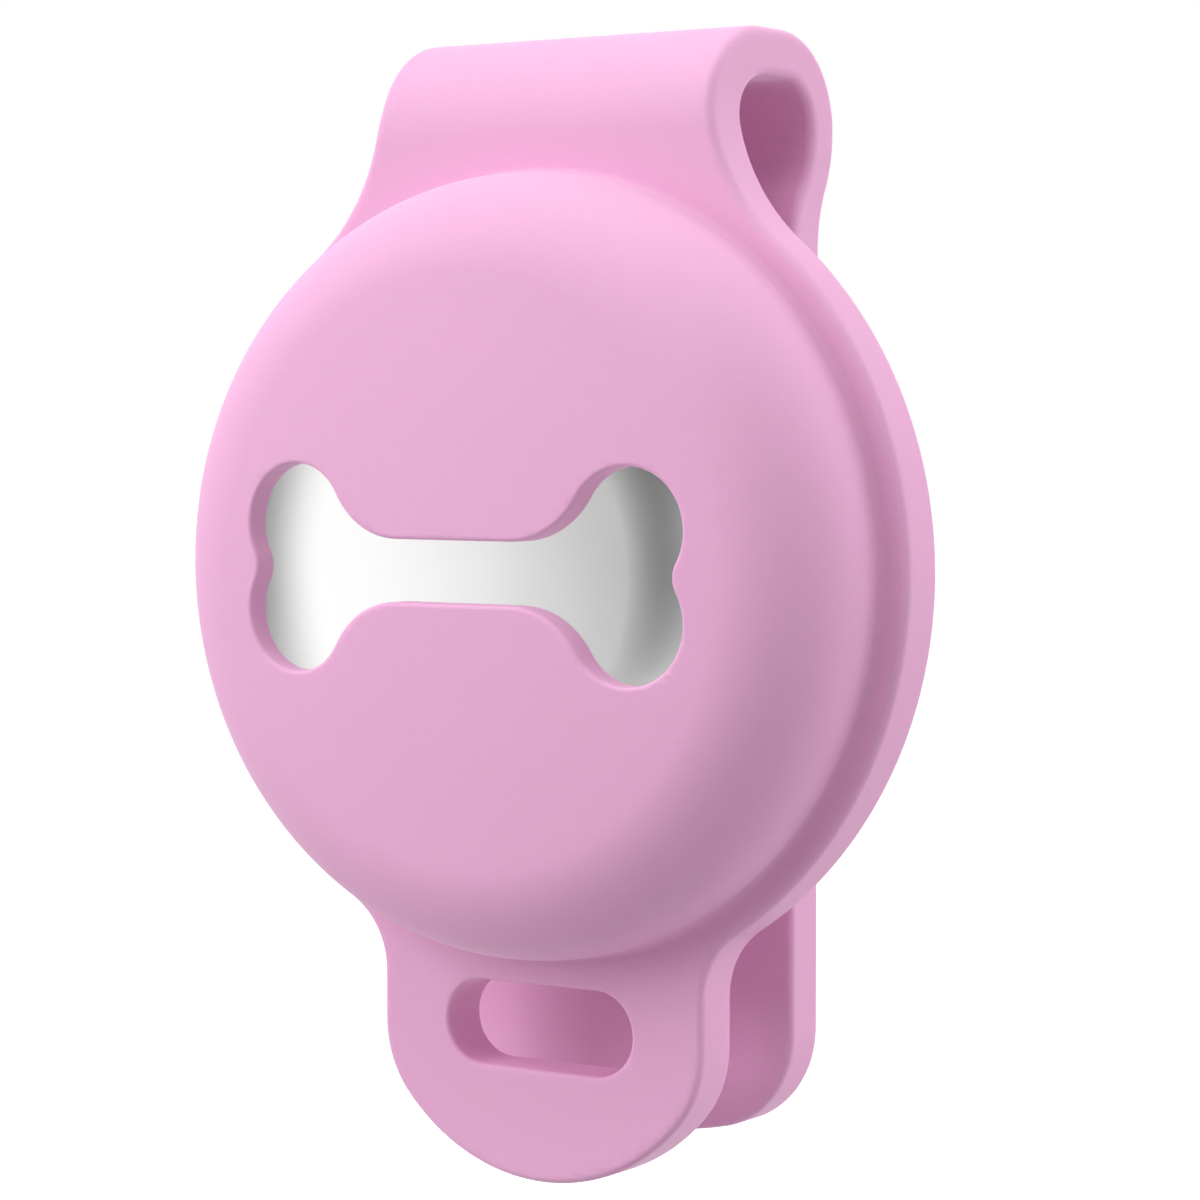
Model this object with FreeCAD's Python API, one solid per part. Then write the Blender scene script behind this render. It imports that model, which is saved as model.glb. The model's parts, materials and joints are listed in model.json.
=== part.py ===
import FreeCAD, Part
import math
import os

# Tracker tag holder: a silicone moulding with a domed pocket, a bone-shaped window, a slotted tab
# and a strap that folds over the top into a loop, holding a coin-cell tracker tag.
# Millimetres. +Z is up, the window faces -Y, and the origin is the centre of the loop's eye.

# Loop and rear strap
eye_width = 6.9
eye_rise = 2.95
eye_rear_radius = 2.5
loop_crown_wall = 2.35
loop_rear_wall = 2.2
loop_front_radius = 5.1
loop_rear_radius = 4.7
strap_width = 19.5
strap_thickness = 2.6
strap_root_drop = 5.3
strap_tail_short = 1.45
strap_tail_corner = 5.2
strap_tail_bulge = 0.5
collar_gap = 5.05
edge_radius = 0.5

# Plate and tab
plate_rim = 1.5
plate_thickness = 2.8
neck_fillet = 10.0
neck_flare_drop = 0.408
tab_width = 18.85
tab_fillet = 4.0
tab_reach = 9.7
tab_end_corner = 5.5
tab_end_bulge = 1.75
slot_length = 10.9
slot_height = 4.2
slot_reach = 2.05

# Domed pocket
dome_wall = 2.9
dome_bulge = 0.72
dome_edge_radius = 5.4
dome_edge_limit_share = 0.95
dome_foot_fillet = 0.35
crown_wall = 1.5
pocket_corner = 2.5

# Bone-shaped window
bone_lobe_radius = 2.95
bone_lobe_reach = 9.55
bone_lobe_rise = 2.1
bone_shaft_height = 3.0
bone_flare_radius = 4.3
bone_notch_radius = 1.4

# Tag: plastic base, steel cover with a bayonet, and the tray between them
tag_clearance = 0.15
tag_front_gap = 0.06
tag_recess = 0.5
base_wall = 1.2
base_rim_depth = 1.9
base_rim_radius = 0.5
base_back_radius = 3.0
base_inner_radius = 1.8
cover_sheet = 0.5
cover_bulge = 0.45
cover_edge_radius = 1.6
cover_skirt = 2.6
lug_reach = 0.9
lug_thickness = 0.4
lug_angle = 22.0
lug_count = 3
fit_gap = 0.15
seat_gap = 0.05
ledge_thickness = 0.4
tray_rim_depth = 1.45
tray_rim_wall = 2.9
tray_flange_thickness = 0.85
tray_floor_thickness = 0.75
tray_floor_width = 1.35
gasket_width = 0.8

# Coin cell
cell_radius = 10.0
cell_thickness = 3.2
cell_depth = 0.8
cell_sheet = 0.25
cell_can_corner = 0.4
cell_crimp = 1.3
cell_cap_height = 1.1
cell_cap_corner = 0.3

# Circuit board and what stands on it
board_edge_gap = 0.55
board_thickness = 0.8
component_space = 1.2
radio_size = 4.6
radio_height = 0.95
sensor_size = 2.4
sensor_height = 0.8
crystal_length = 2.0
crystal_width = 1.6
crystal_height = 0.5
capacitor_length = 1.0
capacitor_width = 0.5
capacitor_height = 0.5
capacitor_gap = 1.1
capacitor_count = 8
radio_angle = 90.0
sensor_angle = 215.0
crystal_angle = 140.0
capacitor_first_angle = 250.0
capacitor_step = 14.0
antenna_inset = 0.2
antenna_width = 0.8
antenna_height = 0.6
antenna_sweep = 300.0
contact_width = 1.8
contact_sheet = 0.2
contact_gap = 0.2
contact_heel_share = 0.2
contact_bend_share = 0.33
contact_angles = (30.0, 150.0)
side_contact_angle = 270.0
side_contact_width = 2.4

# Sounder
yoke_wall = 0.6
yoke_floor = 0.5
yoke_flange = 0.3
yoke_seat = 1.0
yoke_board_gap = 0.4
yoke_cell_gap = 0.25
magnet_radius = 3.3
magnet_height = 1.2
coil_gap = 0.3
coil_width = 0.7

# Cuts run this far past the faces that they open
overrun = 1.0
join_tolerance = 1e-6

# The tag, worked out from the coin cell outwards
cell_cap_radius = cell_radius - cell_crimp
tray_well = cell_radius + fit_gap
tray_hole = tray_well - tray_floor_width
tray_rim = tray_well + tray_rim_wall
cover_radius = tray_rim + fit_gap + lug_reach + cover_sheet
base_inside = cover_radius + fit_gap
tag_radius = base_inside + base_wall
board_near = cell_depth + cell_thickness + seat_gap + tray_floor_thickness
board_far = board_near + board_thickness
tag_thickness = board_far + component_space + base_wall
yoke_radius = magnet_radius + coil_width + 2 * coil_gap + yoke_wall
board_inner_radius = yoke_radius + yoke_board_gap
board_outer_radius = base_inside - board_edge_gap
yoke_flange_radius = board_inner_radius + yoke_seat
antenna_outer_radius = board_outer_radius - antenna_inset
antenna_inner_radius = antenna_outer_radius - antenna_width
board_middle = (yoke_flange_radius + antenna_inner_radius) / 2

# The holder, worked out from the tag outwards
half_strap = strap_width / 2
half_tab = tab_width / 2
pocket_radius = tag_radius + tag_clearance
dome_radius = pocket_radius + dome_wall
plate_radius = dome_radius + plate_rim
plate_back = -eye_width / 2
plate_front = plate_back - plate_thickness
tag_front = plate_back - tag_recess - tag_thickness
pocket_floor = tag_front - tag_front_gap
dome_apex = pocket_floor - crown_wall
loop_inner_rear = eye_width / 2
loop_outer_rear = loop_inner_rear + loop_rear_wall
loop_top = eye_rise + loop_crown_wall
loop_foot = loop_top - loop_front_radius
strap_front = plate_back + collar_gap
strap_back = strap_front + strap_thickness
neck_run = math.sqrt((plate_radius + neck_fillet) ** 2 - (half_strap + neck_fillet) ** 2)
axis_height = eye_rise - neck_flare_drop - neck_run
slot_middle = axis_height - plate_radius - slot_reach
tab_tip = axis_height - plate_radius - tab_reach
strap_tail_tip = tab_tip + strap_tail_short

X_AXIS = FreeCAD.Vector(1, 0, 0)
Y_AXIS = FreeCAD.Vector(0, 1, 0)
Z_AXIS = FreeCAD.Vector(0, 0, 1)
TAG_AXIS_POINT = FreeCAD.Vector(0, 0, axis_height)
FULL_TURN = 360.0


def facing(across, up):
    """A point of an outline drawn on the plane of the plate's front."""
    return FreeCAD.Vector(across, plate_front, up)


def in_section(back, up):
    """A point of an outline drawn on the holder's middle plane."""
    return FreeCAD.Vector(0, back, up)


def in_tag(radius, depth):
    """A point of a turned profile: its radius about the tag's axis, and its depth behind the face."""
    return FreeCAD.Vector(radius, tag_front + depth, axis_height)


def smooth_edges(points, heading):
    """Join points by arcs and lines, each one tangent to the one before it."""
    edges = []
    for start, end in zip(points, points[1:]):
        chord = end - start
        along = FreeCAD.Vector(chord).normalize()
        aside = heading - along * heading.dot(along)
        if aside.Length < join_tolerance:
            edges.append(Part.makeLine(start, end))
            continue
        rise = chord.Length / 2 * math.tan(heading.getAngle(along) / 2)
        middle = (start + end) / 2 + aside.normalize() * rise
        edges.append(Part.Arc(start, middle, end).toShape())
        heading = along * (2 * heading.dot(along)) - heading
    return edges


def rounded_face(corners, place):
    """A face with straight sides between rounded corners, each given as two sizes and a radius."""
    spans = []
    count = len(corners)
    for index, (a, b, radius) in enumerate(corners):
        here = FreeCAD.Vector(a, b, 0)
        back = FreeCAD.Vector(*corners[index - 1][:2], 0) - here
        ahead = FreeCAD.Vector(*corners[(index + 1) % count][:2], 0) - here
        back.normalize()
        ahead.normalize()
        half = back.getAngle(ahead) / 2
        reach = radius / math.tan(half)
        middle = here + (back + ahead).normalize() * (radius / math.sin(half) - radius)
        spans.append((here + back * reach, middle, here + ahead * reach, radius))
    edges = []
    for index, (enter, middle, leave, radius) in enumerate(spans):
        if radius:
            edges.append(Part.Arc(*[place(p.x, p.y) for p in (enter, middle, leave)]).toShape())
        following = spans[(index + 1) % count][0]
        if leave.distanceToPoint(following) > join_tolerance:
            edges.append(Part.makeLine(place(leave.x, leave.y), place(following.x, following.y)))
    return Part.Face(Part.Wire(edges))


def turned(corners, angle=FULL_TURN):
    """A solid turned about the tag's axis from a profile of (radius, depth, corner radius)."""
    return rounded_face(corners, in_tag).revolve(TAG_AXIS_POINT, Y_AXIS, angle)


def ring(inner, outer, near, far):
    """A plain ring about the tag's axis between two radii and two depths."""
    return turned([(inner, near, 0), (outer, near, 0), (outer, far, 0), (inner, far, 0)])


def disc(radius, near, far):
    """A plain disc about the tag's axis."""
    return turned([(0, near, 0), (radius, near, 0), (radius, far, 0), (0, far, 0)])


def sector(inner, outer, near, far, middle_angle, sweep):
    """Part of a ring about the tag's axis, centred on an angle."""
    profile = [(inner, near, 0), (outer, near, 0), (outer, far, 0), (inner, far, 0)]
    return spun(turned(profile, sweep), middle_angle - sweep / 2)


def spun(shape, angle):
    """A shape turned about the tag's axis."""
    turned_shape = shape.copy()
    turned_shape.rotate(TAG_AXIS_POINT, Y_AXIS, angle)
    return turned_shape


def block(low, high):
    """A box between two corners."""
    size = high - low
    return Part.makeBox(size.x, size.y, size.z, low)


def chip(radius, length, width, height, depth, angle):
    """A small package standing on the back of the circuit board."""
    low = in_tag(radius - length / 2, depth) - Z_AXIS * (width / 2)
    high = in_tag(radius + length / 2, depth + height) + Z_AXIS * (width / 2)
    return spun(block(low, high), angle)


def with_soft_edges(shape, cut_levels):
    """Round the edges along a sheet's outline, but not the ends where the next stretch goes on."""
    chosen = []
    for edge in shape.Edges:
        box = edge.BoundBox
        straight_across = abs(edge.Length - box.XLength) < join_tolerance
        straight_through = abs(edge.Length - box.YLength) < join_tolerance
        level = box.ZLength < join_tolerance
        at_cut = level and min(abs(box.ZMax - cut) for cut in cut_levels) < join_tolerance
        if not (straight_across or straight_through or at_cut):
            chosen.append(edge)
    return shape.makeFillet(edge_radius, chosen)


def tip_radius(half_width, corner, bulge):
    """Radius of the flatter arc at the tip of a blunt rounded end."""
    rise = corner + bulge
    return (half_width ** 2 + rise ** 2 - 2 * half_width * corner) / (2 * bulge)


def tip_bulge(half_width, corner, radius):
    """Bulge of a blunt rounded end whose flatter arc has this radius."""
    room = radius - corner
    return room - math.sqrt(room ** 2 - (half_width - corner) ** 2)


def end_points(half_width, corner, bulge, tip, place=facing):
    """Right half of a blunt rounded end: a corner arc that runs on into a flatter arc at the tip."""
    rise = corner + bulge
    corner_centre = place(half_width - corner, tip + rise)
    tip_centre = place(0, tip + tip_radius(half_width, corner, bulge))
    outward = (corner_centre - tip_centre).normalize()
    return [place(half_width, tip + rise), corner_centre + outward * corner, place(0, tip)]


def mirrored(points):
    """The same points on the other side of the middle plane, in reverse order."""
    return [FreeCAD.Vector(-point.x, point.y, point.z) for point in reversed(points)]


def closed_outline(right_half):
    """A face from the right half of an outline that starts straight down and ends at the tip."""
    points = right_half + mirrored(right_half)[1:]
    edges = smooth_edges(points, -Z_AXIS)
    edges.append(Part.makeLine(points[-1], points[0]))
    return Part.Face(Part.Wire(edges))


def shoulder_points(half_width, fillet, side):
    """Where a fillet beside the disc leaves the strap's edge and where it meets the disc."""
    across = half_width + fillet
    along = side * math.sqrt((plate_radius + fillet) ** 2 - across ** 2)
    share = plate_radius / (plate_radius + fillet)
    leaves = facing(half_width, axis_height + along)
    meets = facing(across * share, axis_height + along * share)
    return leaves, meets


def plate_outline():
    """The outline seen from the front: strap, disc and tab as one face."""
    neck_leaves, neck_meets = shoulder_points(half_strap, neck_fillet, 1)
    tab_leaves, tab_meets = shoulder_points(half_tab, tab_fillet, -1)
    right = [facing(half_strap, loop_top + overrun), neck_leaves, neck_meets]
    right += [facing(plate_radius, axis_height), tab_meets, tab_leaves]
    right += end_points(half_tab, tab_end_corner, tab_end_bulge, tab_tip)
    return closed_outline(right)


def flat_plate():
    """The flat sheet of disc, neck and tab, with rounded edges, cut off level with the loop's foot."""
    sheet = plate_outline().extrude(Y_AXIS * plate_thickness)
    low = FreeCAD.Vector(-plate_radius, plate_front, loop_foot)
    high = FreeCAD.Vector(plate_radius, plate_back, loop_top + overrun)
    return with_soft_edges(sheet.cut(block(low, high)), [loop_foot])


def dome():
    """The domed front: a shallow crown, a rounded edge, a straight side and a fillet at its foot."""
    apex = dome_apex - tag_front
    foot = plate_front - tag_front
    side = foot - dome_foot_fillet
    edge_room = side - apex - dome_bulge
    edge = min(dome_edge_radius, edge_room * dome_edge_limit_share)
    profile = end_points(dome_radius, edge, dome_bulge, apex, in_tag)[::-1]
    profile += [in_tag(dome_radius, side), in_tag(dome_radius + dome_foot_fillet, foot)]
    edges = smooth_edges(profile, X_AXIS)
    root = foot + plate_thickness / 2
    rim = in_tag(dome_radius + dome_foot_fillet, root)
    heart = in_tag(0, root)
    edges.append(Part.makeLine(profile[-1], rim))
    edges.append(Part.makeLine(rim, heart))
    edges.append(Part.makeLine(heart, profile[0]))
    return Part.Face(Part.Wire(edges)).revolve(TAG_AXIS_POINT, Y_AXIS, FULL_TURN)


def pocket():
    """The round hollow that takes the tag: its floor follows the tag's cover, and its back is open."""
    back = plate_back + overrun - tag_front
    floor_radius = tip_radius(cover_radius, cover_edge_radius, cover_bulge) + tag_front_gap
    bulge = tip_bulge(pocket_radius, pocket_corner, floor_radius)
    profile = end_points(pocket_radius, pocket_corner, bulge, -tag_front_gap, in_tag)[::-1]
    profile.append(in_tag(pocket_radius, back))
    edges = smooth_edges(profile, X_AXIS)
    heart = in_tag(0, back)
    edges.append(Part.makeLine(profile[-1], heart))
    edges.append(Part.makeLine(heart, profile[0]))
    return Part.Face(Part.Wire(edges)).revolve(TAG_AXIS_POINT, Y_AXIS, FULL_TURN)


def bone_window():
    """The bone-shaped hole through the crown: four lobes, a shaft, and fillets between them."""
    half_shaft = bone_shaft_height / 2
    flare_rise = half_shaft + bone_flare_radius
    flare_span = bone_lobe_radius + bone_flare_radius
    flare_run = math.sqrt(flare_span ** 2 - (flare_rise - bone_lobe_rise) ** 2)
    flare_start = bone_lobe_reach - flare_run
    flare_share = bone_flare_radius / flare_span
    notch_span = bone_lobe_radius + bone_notch_radius
    notch_run = math.sqrt(notch_span ** 2 - bone_lobe_rise ** 2)
    notch_share = bone_lobe_radius / notch_span
    quarter = [
        (0, half_shaft),
        (flare_start, half_shaft),
        (flare_start + flare_run * flare_share, flare_rise - (flare_rise - bone_lobe_rise) * flare_share),
        (bone_lobe_reach, bone_lobe_rise + bone_lobe_radius),
        (bone_lobe_reach + notch_run * notch_share, bone_lobe_rise * (1 - notch_share)),
        (bone_lobe_reach + notch_run - bone_notch_radius, 0),
    ]
    right = quarter + [(x, -z) for x, z in reversed(quarter[1:-1])]
    around = right + [(-x, -z) for x, z in right] + quarter[:1]
    points = [FreeCAD.Vector(x, pocket_floor + overrun, axis_height + z) for x, z in around]
    face = Part.Face(Part.Wire(smooth_edges(points, X_AXIS)))
    return face.extrude(-Y_AXIS * (crown_wall + 2 * overrun))


def tab_slot():
    """The obround slot through the tab."""
    half = slot_length / 2
    end = slot_height / 2
    corners = [
        (-half, slot_middle - end, end),
        (half, slot_middle - end, end),
        (half, slot_middle + end, end),
        (-half, slot_middle + end, end),
    ]
    hole = rounded_face(corners, facing).extrude(Y_AXIS * (plate_thickness + 2 * overrun))
    hole.translate(-Y_AXIS * overrun)
    return hole


def front_shell():
    """Plate, domed pocket and tab, as far up as the foot of the loop."""
    return flat_plate().fuse(dome()).cut(pocket()).cut(bone_window()).cut(tab_slot()).removeSplitter()


def loop_section():
    """The loop seen from the side, from the plate's neck over the crown to the strap's root."""
    root = -strap_root_drop
    outer_shoulder = loop_top - loop_rear_radius
    inner_shoulder = eye_rise - eye_rear_radius
    outer = [
        in_section(plate_front, loop_foot),
        in_section(plate_front + loop_front_radius, loop_top),
        in_section(loop_outer_rear - loop_rear_radius, loop_top),
        in_section(loop_outer_rear, outer_shoulder),
        in_section((loop_outer_rear + strap_back) / 2, (outer_shoulder + root) / 2),
        in_section(strap_back, root),
    ]
    inner = [
        in_section(plate_back, loop_foot),
        in_section(plate_back + eye_rise - loop_foot, eye_rise),
        in_section(loop_inner_rear - eye_rear_radius, eye_rise),
        in_section(loop_inner_rear, inner_shoulder),
        in_section((loop_inner_rear + strap_front) / 2, (inner_shoulder + root) / 2),
        in_section(strap_front, root),
    ]
    edges = smooth_edges(outer, Z_AXIS) + smooth_edges(inner, Z_AXIS)
    edges.append(Part.makeLine(outer[0], inner[0]))
    edges.append(Part.makeLine(outer[-1], inner[-1]))
    return Part.Face(Part.Wire(Part.sortEdges(edges)[0]))


def top_loop():
    """The fold over the top, its front leg flaring into the neck."""
    band = loop_section().extrude(X_AXIS * (2 * plate_radius))
    band.translate(-X_AXIS * plate_radius)
    flared = plate_outline().extrude(-Y_AXIS * plate_front)
    low = FreeCAD.Vector(-half_strap, 0, -strap_root_drop - overrun)
    high = FreeCAD.Vector(half_strap, loop_outer_rear + overrun, loop_top + overrun)
    fold = band.common(flared.fuse(block(low, high))).removeSplitter()
    return with_soft_edges(fold, [loop_foot, -strap_root_drop])


def rear_strap():
    """The flat strap that hangs behind the plate."""
    root = -strap_root_drop
    right = [facing(half_strap, root)]
    right += end_points(half_strap, strap_tail_corner, strap_tail_bulge, strap_tail_tip)
    sheet = closed_outline(right).extrude(Y_AXIS * strap_thickness)
    sheet.translate(Y_AXIS * (strap_front - plate_front))
    return with_soft_edges(sheet, [root])


def cover_sides():
    """Sizes of the crowned cover's two sides: half width, edge radius and the depth of the middle."""
    outside = (cover_radius, cover_edge_radius, 0)
    inside = (cover_radius - cover_sheet, cover_edge_radius - cover_sheet, cover_sheet)
    return outside, inside


def battery_cover():
    """The pressed steel cover: a crowned face and a rounded edge, with bayonet lugs inside its skirt."""
    edges, starts, ends = [], [], []
    for half_width, corner, middle in cover_sides():
        points = [in_tag(half_width, cover_skirt)]
        points += end_points(half_width, corner, cover_bulge, middle, in_tag)
        edges += smooth_edges(points, -Y_AXIS)
        starts.append(points[0])
        ends.append(points[-1])
    edges.append(Part.makeLine(*starts))
    edges.append(Part.makeLine(*ends))
    profile = Part.Face(Part.Wire(Part.sortEdges(edges)[0]))
    shell = profile.revolve(TAG_AXIS_POINT, Y_AXIS, FULL_TURN)
    skirt_inside = cover_radius - cover_sheet
    near = cover_skirt - lug_thickness
    lug_tip = skirt_inside - lug_reach
    for index in range(lug_count):
        angle = index * FULL_TURN / lug_count
        shell = shell.fuse(sector(lug_tip, skirt_inside, near, cover_skirt, angle, lug_angle))
    return shell.removeSplitter()


def base_shell():
    """The plastic cup of the tag, which also sounds as the speaker's cone."""
    floor = tag_thickness - base_wall
    return turned([
        (base_inside, base_rim_depth, 0),
        (tag_radius, base_rim_depth, base_rim_radius),
        (tag_radius, tag_thickness, base_back_radius),
        (0, tag_thickness, 0),
        (0, floor, 0),
        (base_inside, floor, base_inner_radius),
    ])


def battery_tray():
    """The inner frame: cell well, bayonet ledges and the flange that is bonded into the base."""
    flange_near = cover_skirt + fit_gap
    flange_far = flange_near + tray_flange_thickness
    floor_top = board_near - tray_floor_thickness
    tray = turned([
        (tray_well, tray_rim_depth, 0),
        (tray_rim, tray_rim_depth, 0),
        (tray_rim, flange_near, 0),
        (base_inside, flange_near, 0),
        (base_inside, flange_far, 0),
        (tray_rim, flange_far, 0),
        (tray_rim, board_near, 0),
        (tray_hole, board_near, 0),
        (tray_hole, floor_top, 0),
        (tray_well, floor_top, 0),
    ])
    ledge_far = cover_skirt - lug_thickness - fit_gap
    ledge_near = ledge_far - ledge_thickness
    skirt_inside, corner, middle = cover_sides()[1]
    into_corner = max(middle + corner + cover_bulge - ledge_near, 0)
    ledge_reach = skirt_inside - corner + math.sqrt(corner ** 2 - into_corner ** 2) - fit_gap
    for index in range(lug_count):
        angle = index * FULL_TURN / lug_count
        tray = tray.fuse(sector(tray_rim, ledge_reach, ledge_near, ledge_far, angle, lug_angle))
    notch_length = 2 * contact_sheet + 4 * fit_gap
    notch_width = side_contact_width + 2 * fit_gap
    notch = chip(tray_well, notch_length, notch_width, board_near, 0, side_contact_angle)
    return tray.cut(notch).removeSplitter()


def cover_gasket():
    """The soft ring on the tray's rim that the cover presses on."""
    inner = (tray_well + tray_rim - gasket_width) / 2
    outer = inner + gasket_width
    half_width, corner, middle = cover_sides()[1]
    bend = tip_radius(half_width, corner, cover_bulge)
    cover_drop = bend - math.sqrt(bend ** 2 - outer ** 2)
    return ring(inner, outer, middle + cover_drop + seat_gap, tray_rim_depth)


def cell_can():
    """The coin cell's steel cup, flat side towards the cover."""
    far = cell_depth + cell_thickness
    inside = cell_radius - cell_sheet
    return turned([
        (0, cell_depth, 0),
        (cell_radius, cell_depth, cell_can_corner),
        (cell_radius, far, 0),
        (inside, far, 0),
        (inside, cell_depth + cell_sheet, cell_can_corner - cell_sheet),
        (0, cell_depth + cell_sheet, 0),
    ])


def cell_cap():
    """The coin cell's other half, facing the board."""
    far = cell_depth + cell_thickness
    near = far - cell_cap_height
    inside = cell_cap_radius - cell_sheet
    return turned([
        (0, far, 0),
        (cell_cap_radius, far, cell_cap_corner),
        (cell_cap_radius, near, 0),
        (inside, near, 0),
        (inside, far - cell_sheet, 0),
        (0, far - cell_sheet, 0),
    ])


def cell_seal():
    """The plastic ring that keeps the cell's two halves apart."""
    far = cell_depth + cell_thickness
    return ring(cell_cap_radius, cell_radius - cell_sheet, far - cell_cap_height, far - cell_sheet)


def cell_core():
    """The pressed pellet and foil that fill the cell."""
    far = cell_depth + cell_thickness - cell_sheet
    return disc(cell_cap_radius - cell_sheet, cell_depth + cell_sheet, far)


def circuit_board():
    """The ring-shaped circuit board, bonded to the tray's floor."""
    return ring(board_inner_radius, board_outer_radius, board_near, board_far)


def radio_module():
    """The screened radio module."""
    return chip(board_middle, radio_size, radio_size, radio_height, board_far, radio_angle)


def motion_sensor():
    """The accelerometer."""
    return chip(board_middle, sensor_size, sensor_size, sensor_height, board_far, sensor_angle)


def timing_crystal():
    """The crystal that times the radio."""
    return chip(board_middle, crystal_length, crystal_width, crystal_height, board_far, crystal_angle)


def board_capacitors():
    """A row of small capacitors along the antenna."""
    middle = antenna_inner_radius - capacitor_gap - capacitor_length / 2
    angles = [capacitor_first_angle + index * capacitor_step for index in range(capacitor_count)]
    size = (capacitor_length, capacitor_width, capacitor_height)
    return Part.makeCompound([chip(middle, *size, board_far, angle) for angle in angles])


def antenna_ring():
    """The open antenna ring on the board's edge."""
    top = board_far + antenna_height
    return sector(antenna_inner_radius, antenna_outer_radius, board_far, top, radio_angle, antenna_sweep)


def cell_contacts():
    """Three springs: two leaves that touch the cell's cap, and one that stands beside its can."""
    top = cell_depth + cell_thickness
    toe = tray_hole - contact_gap
    heel = board_inner_radius + (toe - board_inner_radius) * contact_heel_share
    bend = heel + (toe - heel) * contact_bend_share
    leaf = [
        (toe, board_near),
        (toe, board_near - contact_sheet),
        (bend, board_near - contact_sheet),
        (heel + contact_sheet, top),
        (heel, top),
        (bend - contact_sheet, board_near),
    ]
    face = Part.Face(Part.makePolygon([in_tag(*point) for point in leaf + leaf[:1]]))
    strip = face.extrude(Z_AXIS * contact_width)
    strip.translate(-Z_AXIS * (contact_width / 2))
    springs = [spun(strip, angle) for angle in contact_angles]
    depth = cell_depth + cell_thickness / 2
    size = (contact_sheet, side_contact_width, board_near - depth)
    springs.append(chip(tray_well, *size, depth, side_contact_angle))
    return Part.makeCompound(springs)


def yoke_depths():
    """Depths of the sounder's yoke: its floor behind the cell, its flange on the board's back."""
    near = cell_depth + cell_thickness + yoke_cell_gap
    return near, near + yoke_floor, board_far


def magnet_yoke():
    """The steel cup round the sounder's magnet, hung by its flange on the board."""
    near, floor, seat = yoke_depths()
    inside = yoke_radius - yoke_wall
    return turned([
        (0, near, 0),
        (yoke_radius, near, 0),
        (yoke_radius, seat, 0),
        (yoke_flange_radius, seat, 0),
        (yoke_flange_radius, seat + yoke_flange, 0),
        (inside, seat + yoke_flange, 0),
        (inside, floor, 0),
        (0, floor, 0),
    ])


def speaker_magnet():
    """The magnet on the yoke's floor."""
    floor = yoke_depths()[1]
    return disc(magnet_radius, floor, floor + magnet_height)


def voice_coil():
    """The coil bonded to the base shell, standing in the yoke's gap."""
    inner = magnet_radius + coil_gap
    floor = yoke_depths()[1]
    return ring(inner, inner + coil_width, floor + coil_gap, tag_thickness - base_wall)


PIECES = [
    front_shell, top_loop, rear_strap, battery_cover, cover_gasket, base_shell, battery_tray,
    cell_can, cell_seal, cell_cap, cell_core, cell_contacts, circuit_board, radio_module,
    motion_sensor, timing_crystal, board_capacitors, antenna_ring, magnet_yoke, speaker_magnet,
    voice_coil,
]

os.makedirs("parts", exist_ok=True)
for piece in PIECES:
    shape = piece()
    shape.exportStep(f"parts/{piece.__name__}.step")
    box = shape.optimalBoundingBox(False)
    sizes = " x ".join(f"{length:.2f}" for length in (box.XLength, box.YLength, box.ZLength))
    made = f"{shape.Volume:.1f} mm3, solids {len(shape.Solids)}, valid {shape.isValid()}"
    print(f"{piece.__name__}: {sizes} mm, {made}")
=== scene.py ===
# %% [markdown]
# # A silicone holder with a tracker tag in it
# The real thing is one soft pink moulding: a round pocket with a bone-shaped window, a slotted tab
# below it, and a strap that folds over the top into a loop for a collar. A coin-shaped tag sits in
# the pocket, and its steel face shows through the window. The solids of every piece are loaded
# first, as a fixed frame. This lesson then makes the moulding as a fine mesh, gives each piece its
# finish, and sets up a small white studio.

# %% Load the frame
import json
import math

import bmesh
import bpy
import numpy as np
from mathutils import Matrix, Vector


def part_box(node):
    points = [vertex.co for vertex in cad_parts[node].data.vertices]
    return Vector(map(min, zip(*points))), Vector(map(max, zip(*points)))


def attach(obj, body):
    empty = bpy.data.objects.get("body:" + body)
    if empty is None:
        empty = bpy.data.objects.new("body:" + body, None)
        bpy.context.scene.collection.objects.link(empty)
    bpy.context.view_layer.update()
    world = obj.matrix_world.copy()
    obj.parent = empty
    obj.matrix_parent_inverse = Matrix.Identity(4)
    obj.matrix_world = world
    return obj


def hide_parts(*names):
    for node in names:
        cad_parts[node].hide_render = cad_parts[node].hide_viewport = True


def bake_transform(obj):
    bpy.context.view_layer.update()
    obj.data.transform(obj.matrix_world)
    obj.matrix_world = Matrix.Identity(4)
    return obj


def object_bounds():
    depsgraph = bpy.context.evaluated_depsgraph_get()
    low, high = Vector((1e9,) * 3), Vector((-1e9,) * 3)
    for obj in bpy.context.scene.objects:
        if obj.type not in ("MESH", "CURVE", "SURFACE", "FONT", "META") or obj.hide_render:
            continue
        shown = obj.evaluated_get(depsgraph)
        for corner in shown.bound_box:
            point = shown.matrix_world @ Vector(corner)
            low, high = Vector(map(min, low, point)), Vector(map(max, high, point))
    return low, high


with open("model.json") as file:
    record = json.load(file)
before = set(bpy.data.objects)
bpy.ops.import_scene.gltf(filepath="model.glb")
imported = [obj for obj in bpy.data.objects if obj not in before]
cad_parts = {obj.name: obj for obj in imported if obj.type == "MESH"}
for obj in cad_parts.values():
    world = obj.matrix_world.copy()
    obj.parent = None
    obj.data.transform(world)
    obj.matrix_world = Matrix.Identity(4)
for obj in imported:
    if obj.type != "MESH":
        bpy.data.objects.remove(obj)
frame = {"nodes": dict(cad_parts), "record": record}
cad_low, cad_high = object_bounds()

import openvdb
from mathutils import Vector

# %% [markdown]
# ## Sizes
# A mesh that stands for a solid has to lie where that solid lies. So the places are read from the
# boxes of the solids, and only what a box can't tell, such as a fillet, is written here.
# The shapes are worked out in millimetres, because that is how such a part is drawn, and each mesh
# is scaled to metres at the end.

# %% Read the places from the frame
mm = 0.001


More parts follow.
